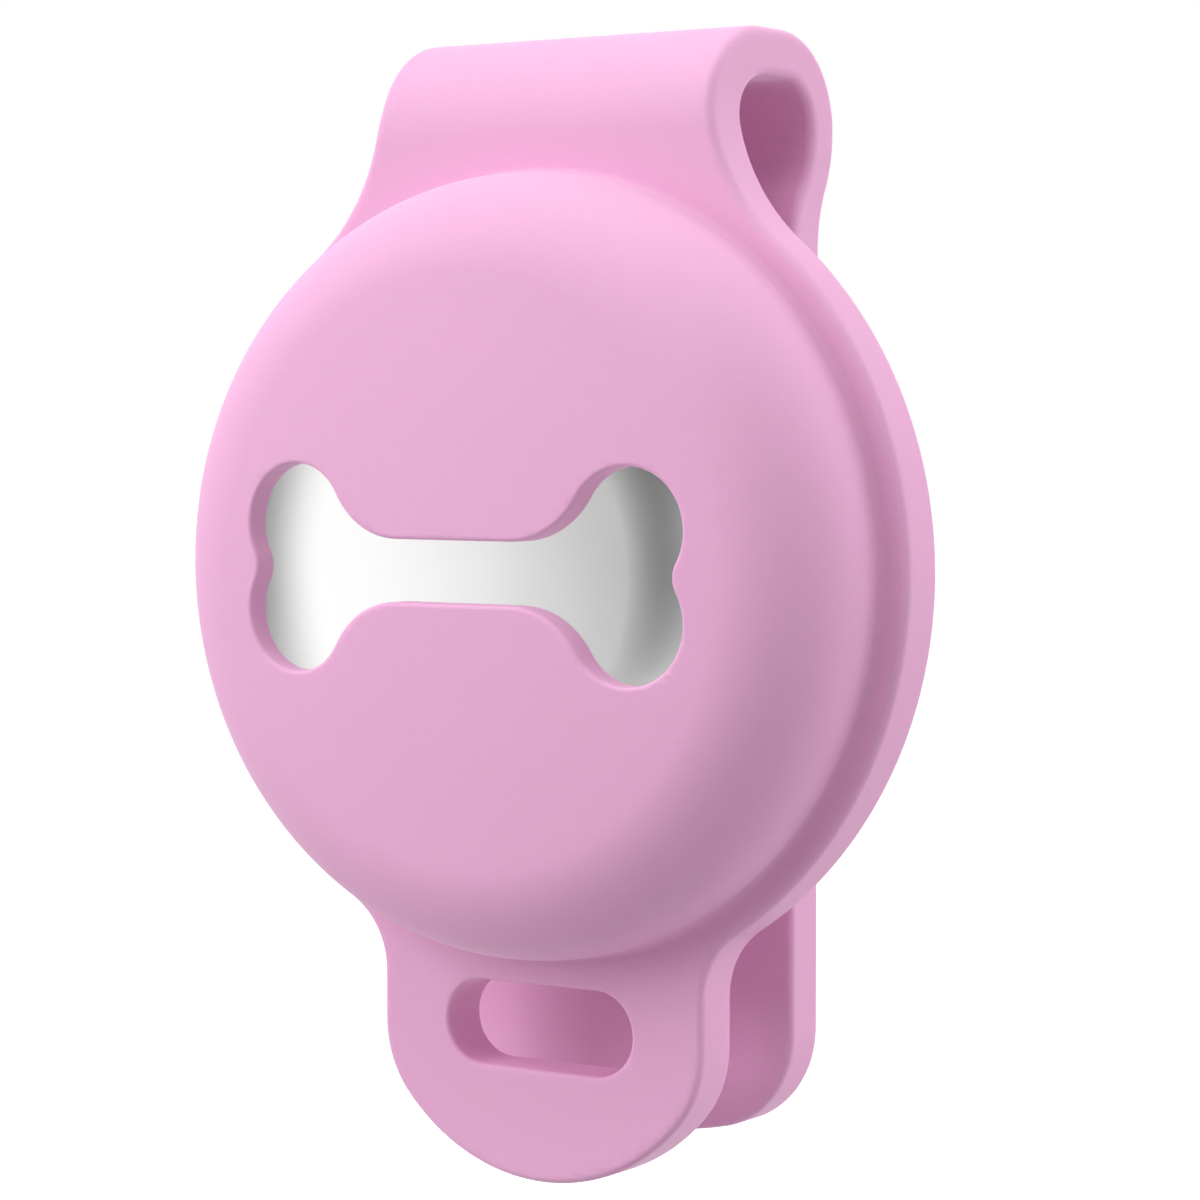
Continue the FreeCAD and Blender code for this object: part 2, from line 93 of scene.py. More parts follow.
def box_mm(node):
    """The lowest and highest corner of a solid, in millimetres."""
    low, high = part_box(node)
    return low / mm, high / mm


shell_low, shell_high = box_mm("front_shell")
loop_low, loop_high = box_mm("top_loop")
strap_low, strap_high = box_mm("rear_strap")
base_low, base_high = box_mm("base_shell")

plate_front, plate_back = loop_low.y, shell_high.y
plate_radius = (shell_high.x - shell_low.x) / 2
axis_z = (base_low.z + base_high.z) / 2
dome_apex, tab_tip, loop_foot = shell_low.y, shell_low.z, shell_high.z
loop_top, loop_rear, strap_root = loop_high.z, loop_high.y, loop_low.z
strap_front, strap_back, strap_tip = strap_low.y, strap_high.y, strap_low.z
strap_half = (strap_high.x - strap_low.x) / 2
tag_radius = (base_high.x - base_low.x) / 2
print(f"plate radius {plate_radius:.2f}, strap width {2 * strap_half:.2f}, tag radius {tag_radius:.2f} mm")

# %% [markdown]
# ## Paths of tangent arcs
# Every outline of the moulding is made of lines and arcs that run into each other without a kink.
# One could draw them as curve objects, but here each path only has to answer one question: how far
# away is this point, and on which side? That signed distance is the raw material of the whole
# shape. An arc is fixed by where it starts, which way it sets out and where it ends, so a path
# needs its points and its first heading, and nothing else.

# %% A path that knows its signed distance
class TangentPath:
    """Points joined by lines and arcs, each one tangent to the one before it."""

    straight = 1e-6

    def __init__(self, heading, points):
        self.steps = []
        heading = np.array(heading, float)
        for start, end in zip(points, points[1:]):
            start, end = np.array(start, float), np.array(end, float)
            length = math.dist(start, end)
            along = (end - start) / length
            turn = heading[0] * along[1] - heading[1] * along[0]
            if abs(turn) < self.straight:
                self.steps.append((start, end, along, length, None))
                continue
            radius = length / (2 * turn)
            centre = start + radius * np.array((-heading[1], heading[0]))
            self.steps.append((start, end, centre, radius, (start + end) / 2 - centre))
            heading = 2 * (heading @ along) * along - heading

    def distance(self, across, up):
        """Signed distance to the path: positive to the left of its direction."""
        nearest, signed = np.inf, 0.0
        for step in self.steps:
            measure = self.line_gap if step[4] is None else self.arc_gap
            gap, side = measure(step, across, up)
            closer = gap < nearest
            signed = np.where(closer, np.copysign(gap, side), signed)
            nearest = np.where(closer, gap, nearest)
        return signed

    def line_gap(self, step, across, up):
        start, _, along, length, _ = step
        right, above = across - start[0], up - start[1]
        reach = np.clip(right * along[0] + above * along[1], 0, length)
        gap = np.hypot(right - reach * along[0], above - reach * along[1])
        return gap, along[0] * above - along[1] * right

    def arc_gap(self, step, across, up):
        start, end, centre, radius, middle = step
        right, above = across - centre[0], up - centre[1]
        spread = np.hypot(right, above)
        faces_arc = right * middle[0] + above * middle[1] >= spread * (middle @ middle) / abs(radius)
        to_ends = [np.hypot(across - point[0], up - point[1]) for point in (start, end)]
        gap = np.where(faces_arc, np.abs(spread - abs(radius)), np.minimum(*to_ends))
        return gap, (abs(radius) - spread) * math.copysign(1, radius)


print("a quarter circle, 1 mm from its middle:", TangentPath((1, 0), [(0, 0), (1, 1)]).distance(0, 1))

# %% [markdown]
# ## The outline from the front
# Seen from the front, the sheet of silicone is a strap that flares into a disc, and a tab below it
# with a blunt, rounded end. Both sides are alike, so only the right half is drawn, from the top
# down, and the mesh later asks for the distance at the absolute value of x. The rear strap has an
# outline of its own.

# %% Draw the plate and the rear strap
neck_fillet, tab_fillet = 10.0, 4.0
tab_half = 9.425
tab_end_corner, tab_end_bulge = 5.5, 1.75
strap_end_corner, strap_end_bulge = 5.2, 0.5
far_away = 100.0


def shoulder(half_width, fillet, side):
    """Where a fillet beside the disc leaves the straight edge, and where it meets the disc."""
    across = half_width + fillet
    rise = side * math.sqrt((plate_radius + fillet) ** 2 - across ** 2)
    disc_share = plate_radius / (plate_radius + fillet)
    return (half_width, axis_z + rise), (across * disc_share, axis_z + rise * disc_share)


def tip_radius(half_width, corner, bulge):
    """Radius of the flatter arc at the tip of a blunt end."""
    rise = corner + bulge
    return (half_width ** 2 + rise ** 2 - 2 * half_width * corner) / (2 * bulge)


def blunt_end(half_width, corner, bulge, tip):
    """Right half of an end whose corner arc runs on into a flatter arc at the tip."""
    rise = corner + bulge
    flat_radius = tip_radius(half_width, corner, bulge)
    to_corner = np.array((half_width - corner, rise - flat_radius))
    meets = to_corner * (1 + corner / np.hypot(*to_corner)) + (0, tip + flat_radius)
    return [(half_width, tip + rise), meets, (0, tip)]


neck_leaves, neck_meets = shoulder(strap_half, neck_fillet, 1)
tab_leaves, tab_meets = shoulder(tab_half, tab_fillet, -1)
plate_outline = TangentPath((0, -1), [
    (strap_half, far_away), neck_leaves, neck_meets, (plate_radius, axis_z), tab_meets, tab_leaves,
    *blunt_end(tab_half, tab_end_corner, tab_end_bulge, tab_tip),
])
strap_outline = TangentPath((0, -1), [
    (strap_half, far_away), *blunt_end(strap_half, strap_end_corner, strap_end_bulge, strap_tip),
])
print("the neck starts to flare at", round(neck_leaves[1], 2), "mm above the eye's centre")

# %% [markdown]
# ## The fold from the side
# From the side, the same sheet comes up as the plate, folds over as a loop that is thicker at the
# crown, and goes down again as the strap. Two paths hold it: one round the outside of the fold and
# one round its eye. Both start far below the object and end there, because the outline from the
# front already cuts the sheet to length.

# %% Draw the outside and the inside of the fold
eye_rise, eye_rear_radius, loop_rear_radius = 2.95, 2.5, 4.7
eye_half = -plate_back


def fold_path(front, top, rear, rear_radius, strap_face):
    """Up one face of the plate, over the fold and down the same face of the strap."""
    front_radius, shoulder_height = top - loop_foot, top - rear_radius
    return TangentPath((0, 1), [
        (front, -far_away), (front, loop_foot), (front + front_radius, top), (rear - rear_radius, top),
        (rear, shoulder_height), ((rear + strap_face) / 2, (shoulder_height + strap_root) / 2),
        (strap_face, strap_root), (strap_face, -far_away),
    ])


fold_outside = fold_path(plate_front, loop_top, loop_rear, loop_rear_radius, strap_back)
fold_inside = fold_path(plate_back, eye_rise, eye_half, eye_rear_radius, strap_front)
crown_thickness, strap_thickness = loop_top - eye_rise, strap_back - strap_front
print(f"wall at the crown {crown_thickness:.2f} mm, strap {strap_thickness:.2f} mm")

# %% [markdown]
# ## The dome, the window and the slot
# The pocket's front is a shallow crown with a well-rounded shoulder. It is turned about the tag's
# axis, so one path of radius against depth is enough. The window is a bone with four lobes. A bone
# is its own mirror image in both directions, so a quarter of it is drawn, and the concave flares
# are arcs that touch the shaft and the lobes.

# %% Draw the dome's profile and a quarter of the bone
dome_radius, dome_edge_radius, dome_bulge = 19.0, 5.4, 0.72
crown_wall, tag_clearance, pocket_corner, pocket_bulge = 1.5, 0.15, 2.5, 0.495
lobe_radius, lobe_reach, lobe_rise = 2.95, 9.55, 2.1
shaft_half, flare_radius, notch_radius = 1.5, 4.3, 1.4


def turned_profile(radius, corner, bulge, front):
    """Radius against depth of a crowned round front and its straight side."""
    front_half = blunt_end(radius, corner, bulge, front)
    return TangentPath((1, 0), [*reversed(front_half), (radius, far_away)])


pocket_radius = tag_radius + tag_clearance
pocket_floor = dome_apex + crown_wall
dome_profile = turned_profile(dome_radius, dome_edge_radius, dome_bulge, dome_apex)
pocket_profile = turned_profile(pocket_radius, pocket_corner, pocket_bulge, pocket_floor)

flare_rise = shaft_half + flare_radius
flare_span = lobe_radius + flare_radius
flare_run = math.sqrt(flare_span ** 2 - (flare_rise - lobe_rise) ** 2)
flare_share = flare_radius / flare_span
notch_span = lobe_radius + notch_radius
notch_run = math.sqrt(notch_span ** 2 - lobe_rise ** 2)
lobe_share = lobe_radius / notch_span
flare_start = lobe_reach - flare_run
bone_outline = TangentPath((1, 0), [
    (0, shaft_half),
    (flare_start, shaft_half),
    (flare_start + flare_run * flare_share, flare_rise - (flare_rise - lobe_rise) * flare_share),
    (lobe_reach, lobe_rise + lobe_radius),
    (lobe_reach + notch_run * lobe_share, lobe_rise * (1 - lobe_share)),
    (lobe_reach + notch_run - notch_radius, 0),
])
bone_length, bone_height = (2 * (middle + lobe_radius) for middle in (lobe_reach, lobe_rise))
print(f"the bone is {bone_length:.1f} mm long and {bone_height:.1f} mm high")

# %% [markdown]
# ## One field for the whole moulding
# Boolean cuts followed by a bevel would be the usual way to make this part, and they leave long
# thin faces that shade badly where fillets meet. A distance field has no such trouble: two shapes
# are joined or cut by comparing their distances, and a fillet or a rounded rim is one more line of
# arithmetic. Silicone comes out of its mould with soft edges everywhere, so that suits it well.

# %% Join the shapes into one signed distance
plate_edge, loop_edge, foot_fillet = 0.35, 0.5, 0.35
softening_start, softening_end = -10.0, -2.0
slot_half, slot_end, slot_drop = 5.45, 2.1, 22.55
pocket_rim, window_rim, slot_rim = 0.4, 0.2, 0.2
plate_middle = (plate_front + plate_back) / 2


def rounded_meet(one, other, radius):
    """What two fields share, with its edge rounded off."""
    inside = np.minimum(np.maximum(one, other), -radius)
    return inside + np.hypot(np.maximum(one + radius, 0), np.maximum(other + radius, 0))


def rounded_join(one, other, radius):
    """Two fields together, with a fillet in the corner between them."""
    return -rounded_meet(-one, -other, radius)


def holder_field(x, y, z):
    """Signed distance to the moulding's surface in millimetres, negative inside the silicone."""
    wide, radius = np.abs(x), np.hypot(x, z - axis_z)
    outline = np.where(y < 0, plate_outline.distance(wide, z), strap_outline.distance(wide, z))
    fold = np.maximum(fold_outside.distance(y, z), -fold_inside.distance(y, z))
    dome = np.maximum(-dome_profile.distance(radius, y), y - plate_middle)
    edge_radius = np.interp(z, (softening_start, softening_end), (plate_edge, loop_edge))
    body = rounded_join(rounded_meet(fold, outline, edge_radius), dome, foot_fillet)
    pocket = -pocket_profile.distance(radius, y)
    bone = bone_outline.distance(wide, np.abs(z - axis_z))
    slot = np.hypot(np.maximum(wide - slot_half + slot_end, 0), z - axis_z + slot_drop) - slot_end
    for hole, rim in ((pocket, pocket_rim), (bone, window_rim), (slot, slot_rim)):
        body = rounded_meet(body, -np.maximum(hole, y), rim)
    return body


wall_middle = (dome_apex + pocket_floor) / 2
above_window = axis_z + bone_height
in_wall = holder_field(0, wall_middle, above_window)
print(f"the field inside the crown wall, above the window: {in_wall:.2f} mm")

# %% [markdown]
# ## From the field to a mesh
# The field is sampled on a grid, and OpenVDB, which comes with Blender, lays quads where it changes
# sign. Such a mesh is only as exact as the grid. So each point then slides along the field's slope
# until its distance is zero, and the slope there is the true normal of the surface, which is kept
# as a custom normal. A Remesh modifier would also give quads, without the exact points and normals.

# %% Mesh the field
voxel, margin_voxels = 0.36, 3
margin = margin_voxels * voxel
probe = 0.005
settling_steps = 3


def field_at(points):
    return holder_field(*points.T)


def slope_at(points):
    """The field's slope by central differences, one row for each point."""
    steps = np.eye(3) * probe
    rises = [field_at(points + step) - field_at(points - step) for step in steps]
    return np.stack(rises, axis=1) / (2 * probe)


origin = np.array(cad_low) / mm - margin
counts = np.ceil((np.array(cad_high) / mm + margin - origin) / voxel).astype(int)
x_line, y_line, z_line = (start + voxel * np.arange(count) for start, count in zip(origin, counts))
samples = holder_field(x_line[:, None, None], y_line[None, :, None], z_line[None, None, :])
grid = openvdb.FloatGrid(far_away)
grid.copyFromArray(np.ascontiguousarray(samples, np.float32))
points, quads = grid.convertToQuads(isovalue=0)
points = points * voxel + origin
print(len(points), "points and", len(quads), "quads from the grid")

# %% [markdown]
# The rims of the window and the slot are rounder than the grid can follow. So every edge whose two
# ends face different ways is cut in half, and the new points slide onto the surface too. Three
# rounds of that put the small faces where the silicone bends, and nowhere else.

# %% Settle the points, and add more where the surface bends
bend_limit = math.cos(math.radians(17))
bend_rounds, quad_corners = 3, 4


def settle(points):
    """Slide points along the field's slope onto the surface, and give the normals there."""
    for step in range(settling_steps):
        slope = slope_at(points)
        points = points - slope * (field_at(points) / (slope ** 2).sum(axis=1))[:, None]
    slope = slope_at(points)
    return points, slope / np.linalg.norm(slope, axis=1)[:, None]


points, normals = settle(points)
moulding = bmesh.new()
corners = [moulding.verts.new(point) for point in points]
for quad in quads:
    moulding.faces.new([corners[index] for index in quad])
for bend_round in range(bend_rounds):
    moulding.verts.index_update()
    bent = [edge for edge in moulding.edges
            if normals[edge.verts[0].index] @ normals[edge.verts[1].index] < bend_limit]
    bmesh.ops.subdivide_edges(moulding, edges=bent, cuts=1, use_grid_fill=True)
    points, normals = settle(np.array([vertex.co for vertex in moulding.verts]))
    for vertex, point in zip(moulding.verts, points):
        vertex.co = point
    print("round", bend_round + 1, "cut", len(bent), "edges and left", len(moulding.faces), "faces")
many_sided = [face for face in moulding.faces if len(face.verts) > quad_corners]
bmesh.ops.triangulate(moulding, faces=many_sided)
bmesh.ops.scale(moulding, vec=(mm, mm, mm), verts=moulding.verts)
print("furthest from the surface:", f"{np.abs(field_at(points)).max():.4f} mm")

# %% [markdown]
# ## Two pieces that meet in the loop's rear leg
# On the real holder the strap can be bent back, away from the plate, to take the tag out. The bend
# is in the silicone, a little below the loop. So the mesh is cut straight across the loop's rear
# leg, above the bend: what is above the cut stays with the holder, and what is below it becomes
# the strap's own piece. Nothing moves at the cut itself, so no seam can open there.

# %% Cut the mesh and close both ends
cut_height = -0.9
cut_reach = 1.0


def keep_side(name, rear_side):
    """A copy of the mesh with only the strap, or with all but the strap, and its cut end closed."""
    build = moulding.copy()
    near_cut = [face for face in build.faces if face.calc_center_median().y > 0
                and abs(face.calc_center_median().z / mm - cut_height) < cut_reach]
    around = set(near_cut)
    for face in near_cut:
        around.update(face.edges)
        around.update(face.verts)
    cut_place = (0, 0, cut_height * mm)
    bmesh.ops.bisect_plane(build, geom=list(around), plane_co=cut_place, plane_no=(0, 0, 1))
    unwanted = []
    for face in build.faces:
        centre = face.calc_center_median()
        if (centre.y > 0 and centre.z < cut_height * mm) != rear_side:
            unwanted.append(face)
    bmesh.ops.delete(build, geom=unwanted, context="FACES")
    open_edges = [edge for edge in build.edges if edge.is_boundary]
    bmesh.ops.edgeloop_fill(build, edges=open_edges)
    mesh = bpy.data.meshes.new(name)
    build.to_mesh(mesh)
    build.free()
    places = np.empty(len(mesh.vertices) * 3)
    mesh.vertices.foreach_get("co", places)
    normals = slope_at(places.reshape(-1, 3) / mm)
    normals /= np.linalg.norm(normals, axis=1)[:, None]
    mesh.shade_smooth()
    mesh.normals_split_custom_set_from_vertices(normals)
    piece = bpy.data.objects.new(name, mesh)
    bpy.context.scene.collection.objects.link(piece)
    print(name, "has", len(mesh.polygons), "faces and", len(open_edges), "edges round its cut")
    return piece


holder_moulding = keep_side("holder_moulding", False)
holder_strap = keep_side("holder_strap", True)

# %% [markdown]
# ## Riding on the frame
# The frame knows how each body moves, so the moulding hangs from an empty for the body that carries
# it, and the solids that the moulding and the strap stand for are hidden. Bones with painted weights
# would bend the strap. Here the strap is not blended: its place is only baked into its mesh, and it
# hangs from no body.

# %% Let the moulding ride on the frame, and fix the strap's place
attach(holder_moulding, "holder")
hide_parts("front_shell", "top_loop")
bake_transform(holder_strap)
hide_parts("rear_strap")

# %% [markdown]
# ## The tag's steel cover
# The cover that shows through the window is pressed from thin steel, and its face is very slightly
# crowned. Polished metal shows the smallest facet, so the cover gets a finer mesh than the solid's:
# a profile of outside, skirt and inside is turned about the tag's axis, as on a lathe. The Screw
# modifier could do that, but with the points worked out here each ring lies exactly on its circle.

# %% Turn the cover
cover_low, cover_high = box_mm("battery_cover")
cover_radius = (cover_high.x - cover_low.x) / 2
cover_sheet, cover_edge_radius, cover_bulge = 0.5, 1.6, 0.45
crown_points, edge_points, cover_segments = 36, 12, 240
weld_reach, sharp_turn = 0.001, math.radians(40)


def crowned_side(half_width, corner, front):
    """Points of one side of the cover, from the middle of its face to the foot of its skirt."""
    side, meets, _ = blunt_end(half_width, corner, cover_bulge, front)
    crown_radius = tip_radius(half_width, corner, cover_bulge)
    across = np.linspace(0, meets[0], crown_points)
    depth = front + crown_radius - np.sqrt(crown_radius ** 2 - across ** 2)
    corner_middle = half_width - corner
    first_tilt = math.asin((meets[0] - corner_middle) / corner)
    tilt = np.linspace(first_tilt, math.pi / 2, edge_points)[1:]
    edge = zip(corner_middle + corner * np.sin(tilt), side[1] - corner * np.cos(tilt))
    return [*zip(across, depth), *edge, (half_width, cover_high.y)]


outside = crowned_side(cover_radius, cover_edge_radius, cover_low.y)
inside = crowned_side(
    cover_radius - cover_sheet, cover_edge_radius - cover_sheet, cover_low.y + cover_sheet)
cover_build = bmesh.new()
profile = [cover_build.verts.new((across * mm, depth * mm, axis_z * mm))
           for across, depth in outside + inside[::-1]]
profile_edges = [cover_build.edges.new(pair) for pair in zip(profile, profile[1:])]
bmesh.ops.spin(
    cover_build, geom=profile + profile_edges, cent=(0, 0, axis_z * mm), axis=(0, 1, 0),
    angle=2 * math.pi, steps=cover_segments, use_merge=True)
bmesh.ops.remove_doubles(cover_build, verts=cover_build.verts, dist=weld_reach * mm)
bmesh.ops.recalc_face_normals(cover_build, faces=cover_build.faces)
cover_mesh = bpy.data.meshes.new("tag_cover")
cover_build.to_mesh(cover_mesh)
cover_build.free()
cover_mesh.shade_smooth()
cover_mesh.set_sharp_from_angle(angle=sharp_turn)
tag_cover = bpy.data.objects.new("tag_cover", cover_mesh)
bpy.context.scene.collection.objects.link(tag_cover)
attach(tag_cover, "cover")
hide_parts("battery_cover")
print("the cover has", len(cover_mesh.polygons), "faces")

# %% [markdown]
# ## Writing shaders as sums
# A finish is a small tree of nodes. Wiring it node by node takes many lines and hides what it does,
# so one class wraps a socket and lets Python's own operators add the Math nodes. Everything else,
# such as a noise or a mix, comes from one method that sets the node up and links its sockets.

# %% A socket that can be added and multiplied
class Wire:
    """An output socket in a material's node tree."""

    def __init__(self, tree, socket):
        self.tree, self.socket = tree, socket

    def math(self, operation, first, second):
        return add_node(self.tree, "ShaderNodeMath", {"operation": operation}, {0: first, 1: second})

    def __add__(self, other):
        return self.math("ADD", self, other)

    def __sub__(self, other):
        return self.math("SUBTRACT", self, other)

    def __rsub__(self, other):
        return self.math("SUBTRACT", other, self)

    def __mul__(self, other):
        return self.math("MULTIPLY", self, other)

    __radd__ = __add__
    __rmul__ = __mul__


def add_node(tree, kind, settings, inputs, output=0):
    """Add a node, set it up, fill or link its sockets, and return one of its outputs."""
    node = tree.nodes.new(kind)
    for name, value in settings.items():
        setattr(node, name, value)
    for name, value in inputs.items():
        if isinstance(value, Wire):
            tree.links.new(value.socket, node.inputs[name])
        else:
            node.inputs[name].default_value = value
    return Wire(tree, node.outputs[output])


class Finish:
    """A material with one Principled shader, and short names for the nodes that feed it."""

    def __init__(self, name):
        self.material = bpy.data.materials.new(name)
        self.material.use_nodes = True
        self.tree = self.material.node_tree
        self.shader = self.tree.nodes["Principled BSDF"]
        self.place = self.node("ShaderNodeTexCoord", {}, {}, "Object")

    def node(self, kind, settings, inputs, output=0):
        return add_node(self.tree, kind, settings, inputs, output)

    def noise(self, size, detail=2.0, place=None):
        """A soft random pattern from 0 to 1, whose blots are about this size in metres."""
        sockets = {"Vector": place or self.place, "Scale": 1 / size, "Detail": detail}
        return self.node("ShaderNodeTexNoise", {}, sockets, "Fac")

    def between(self, share, one, other):
        """A colour between two colours."""
        return self.node("ShaderNodeMix", {"data_type": "RGBA"}, {0: share, 6: one, 7: other}, 2)

    def bump(self, height, depth):
        """Normals from a height, where a height of 1 is this deep in metres."""
        return self.node("ShaderNodeBump", {}, {"Height": height, "Distance": depth})

    def set(self, **sockets):
        """Fill or link the shader's sockets: an underscore stands for a space."""
        for name, value in sockets.items():
            socket = self.shader.inputs[name.replace("_", " ")]
            if isinstance(value, Wire):
                self.tree.links.new(value.socket, socket)
            else:
                socket.default_value = value
        return self.material


def colour(code):
    """A shader colour from a web colour code, which is how colours are usually noted down."""
    channels = [int(code[index:index + 2], 16) / 255 for index in (0, 2, 4)]
    return (*[c / 12.92 if c <= 0.04045 else ((c + 0.055) / 1.055) ** 2.4 for c in channels], 1.0)


print("mid pink in linear light:", [round(part, 3) for part in colour("E8A5D2")])

# %% [markdown]
# ## Silicone
# Moulded silicone is matt, a little waxy, and very even. Seen close up it has the fine spark-eroded
# grain of its mould, and where it is handled the grain is a touch smoother. So the colour hardly
# varies, the roughness varies a little in broad soft patches, and a fine grain comes from a bump.

# %% Make the silicone
patch_size, grain_size, grain_depth = 12 * mm, 0.16 * mm, 0.012 * mm
fine_detail = 3.0


def silicone_finish():
    finish = Finish("pink_silicone")
    patches = finish.noise(patch_size)
    grain = finish.noise(grain_size, fine_detail)
    tone = finish.between(patches, colour("EAAED6"), colour("EEB2D9"))
    return finish.set(
        Base_Color=tone,
        Roughness=0.5 + 0.1 * patches,
        Normal=finish.bump(grain, grain_depth),
        IOR=1.41,
        Subsurface_Weight=0.12,
        Subsurface_Radius=(1.0, 0.5, 0.8),
        Subsurface_Scale=0.0012,
    )


silicone = silicone_finish()
for piece in (holder_moulding, holder_strap):
    piece.data.materials.append(silicone)
print("silicone on", holder_moulding.name, "and", holder_strap.name)

# %% [markdown]
# ## Turned steel
# The cover is pressed from stainless steel and finished on a lathe, so it carries very fine rings
# about its centre. They can't be seen one by one from a step away: they only spread the reflection.
# The rings come from a noise of the radius alone, worked out with Vector Math. Towards the rim the
# flanks of the rings lean outwards more and more, which turns the reflection there to grey. Their
# lean is a slope that grows with the radius, so its height grows with the square.

# %% Make the steel
ring_width, ring_depth, smear_size = 0.09 * mm, 0.0006 * mm, 6 * mm
lean_start, lean_growth = 8.8 * mm, 23.0


def steel_finish():
    finish = Finish("turned_steel")
    kind, centre = "ShaderNodeVectorMath", (0, 0, axis_z * mm)
    to_axis = finish.node(kind, {"operation": "SUBTRACT"}, {0: finish.place, 1: centre})
    flat = finish.node(kind, {"operation": "MULTIPLY"}, {0: to_axis, 1: (1, 0, 1)})
    radius = finish.node(kind, {"operation": "LENGTH"}, {0: flat}, "Value")
    along_radius = finish.node("ShaderNodeCombineXYZ", {}, {0: radius})
    rings = finish.noise(ring_width, place=along_radius)
    smears = finish.noise(smear_size)
    past_start = radius.math("MAXIMUM", radius - lean_start, 0)
    height = ring_depth * rings - lean_growth * past_start * past_start
    return finish.set(
        Base_Color=finish.between(smears, colour("DEDEDE"), colour("E9E9E8")),
        Metallic=1.0,
        Roughness=0.22 + 0.04 * rings + 0.04 * smears,
        Normal=finish.bump(height, 1.0),
    )


steel = steel_finish()
print("the steel has", len(steel.node_tree.nodes), "nodes")

# %% [markdown]
# ## Plastics, metals and the board inside
# The other finishes share one recipe: two close colours in soft blots, a roughness that follows
# them, and a fine grain. What makes one look like moulded plastic and another like plated metal is
# the size of the blots, the metallic value and the depth of the grain, so those are its values.

# %% Make the other finishes
grains_in_blot, roughness_change, usual_grain = 12, 0.08, 0.000004


def blotted_finish(name, one, other, size, roughness, metallic=0.0, depth=usual_grain, coat=0.0):
    finish = Finish(name)
    blots = finish.noise(size)
    grain = finish.noise(size / grains_in_blot, fine_detail)
    return finish.set(
        Base_Color=finish.between(blots, colour(one), colour(other)),
        Roughness=roughness + roughness_change * blots,
        Metallic=metallic,
        Coat_Weight=coat,
        Normal=finish.bump(grain, depth),
    )


finishes = {
    "cover_steel": steel,
    "base_plastic": blotted_finish("white_plastic", "EDEDEB", "F4F4F2", 0.004, 0.26, coat=0.2),
    "tray_plastic": blotted_finish("grey_plastic", "C9CACB", "D3D4D5", 0.003, 0.45),
    "gasket_rubber": blotted_finish("black_rubber", "1B1B1C", "2A2A2B", 0.001, 0.6),
    "cell_steel": blotted_finish("nickelled_steel", "C6C6C2", "D6D5D0", 0.003, 0.26, 1.0),
    "seal_plastic": blotted_finish("seal_plastic", "3B3D42", "4A4C52", 0.001, 0.5),
    "cell_pellet": blotted_finish("pressed_pellet", "26262A", "3A3A3E", 0.0006, 0.8, 0.0, 0.00003),
    "contact_metal": blotted_finish("gilded_bronze", "D9B45E", "E8CA7C", 0.001, 0.28, 1.0),
    "board": blotted_finish("solder_mask", "123A2A", "194B36", 0.0012, 0.34, 0.0, 0.00002, 0.3),
    "chip_black": blotted_finish("moulded_resin", "1C1D1F", "27282B", 0.0004, 0.55),
    "screen_can": blotted_finish("tinned_sheet", "B9BBBE", "CBCDCF", 0.0015, 0.32, 1.0),
    "ceramic": blotted_finish("fired_ceramic", "8A6F58", "9C8068", 0.0003, 0.5),
    "copper": blotted_finish("bare_copper", "B9724A", "CC885E", 0.001, 0.3, 1.0),
    "yoke_steel": blotted_finish("zinced_steel", "A9ABAE", "BCBEC1", 0.0012, 0.36, 1.0),
    "magnet": blotted_finish("plated_magnet", "9A9B9E", "ABACAF", 0.001, 0.24, 1.0),
}
print("finishes:", ", ".join(finish.name for finish in finishes.values()))

# %% [markdown]
# ## Dressing the solids
# Inside the tag the solids of the frame are fine enough to be seen as they are, so they only need
# their finish. The record says which material each piece of the real tag is made of, and the names
# there are the names of the finishes here. Choosing them by hand for each piece would also work,
# but it goes wrong as soon as a piece is added.

# %% Put the finishes on the solids
slot_of = {row["node"]: row["material_slot"] for row in frame["record"]["subparts"]}
for name, node in frame["nodes"].items():
    if slot_of[name] in finishes:
        node.data.materials.clear()
        node.data.materials.append(finishes[slot_of[name]])
tag_cover.data.materials.append(finishes["cover_steel"])
print(len(finishes), "finishes on", sum(slot in finishes for slot in slot_of.values()), "solids")

# %% [markdown]
# ## A small white studio
# The holder hangs above a pale floor, as it would from a collar. A floor lit like the object would
# look grey at this low angle, so for the camera, and for what mirrors and clear things show, it
# gives off a little light of its own on top of what falls on it. A shadow still shows, because that
# falls on the lit part.

# %% Lay the floor
floor_drop, floor_size, mottle_size = 0.05, 6.0, 0.05
room_light, floor_return = 0.28, 0.3


def seen_directly(tree):
    """1 for rays from the camera and for mirrored or refracted ones, 0 for the light in the room."""
    rays = [add_node(tree, "ShaderNodeLightPath", {}, {}, f"Is {kind} Ray")
            for kind in ("Camera", "Glossy", "Transmission")]
    clamped = {"operation": "ADD", "use_clamp": True}
    return add_node(tree, "ShaderNodeMath", clamped, {0: rays[0] + rays[1], 1: rays[2]})


def floor_finish():
    finish = Finish("pale_floor")
    mottle = finish.noise(mottle_size)
    return finish.set(
        Base_Color=finish.between(mottle, colour("9C9C9C"), colour("A0A0A0")),
        Roughness=0.9,
        Emission_Color=finish.between(seen_directly(finish.tree), (0, 0, 0, 1), (1, 1, 1, 1)),
        Emission_Strength=1 - room_light * floor_return,
    )


floor_mesh = bpy.data.meshes.new("floor")
half = floor_size / 2
floor_height = cad_low.z - floor_drop
ground = ((-half, -half), (half, -half), (half, half), (-half, half))
floor_mesh.from_pydata([(x, y, floor_height) for x, y in ground], [], [(0, 1, 2, 3)])
floor_mesh.materials.append(floor_finish())
floor = bpy.data.objects.new("floor", floor_mesh)
bpy.context.scene.collection.objects.link(floor)
print("floor at", round(floor_height, 4), "m")

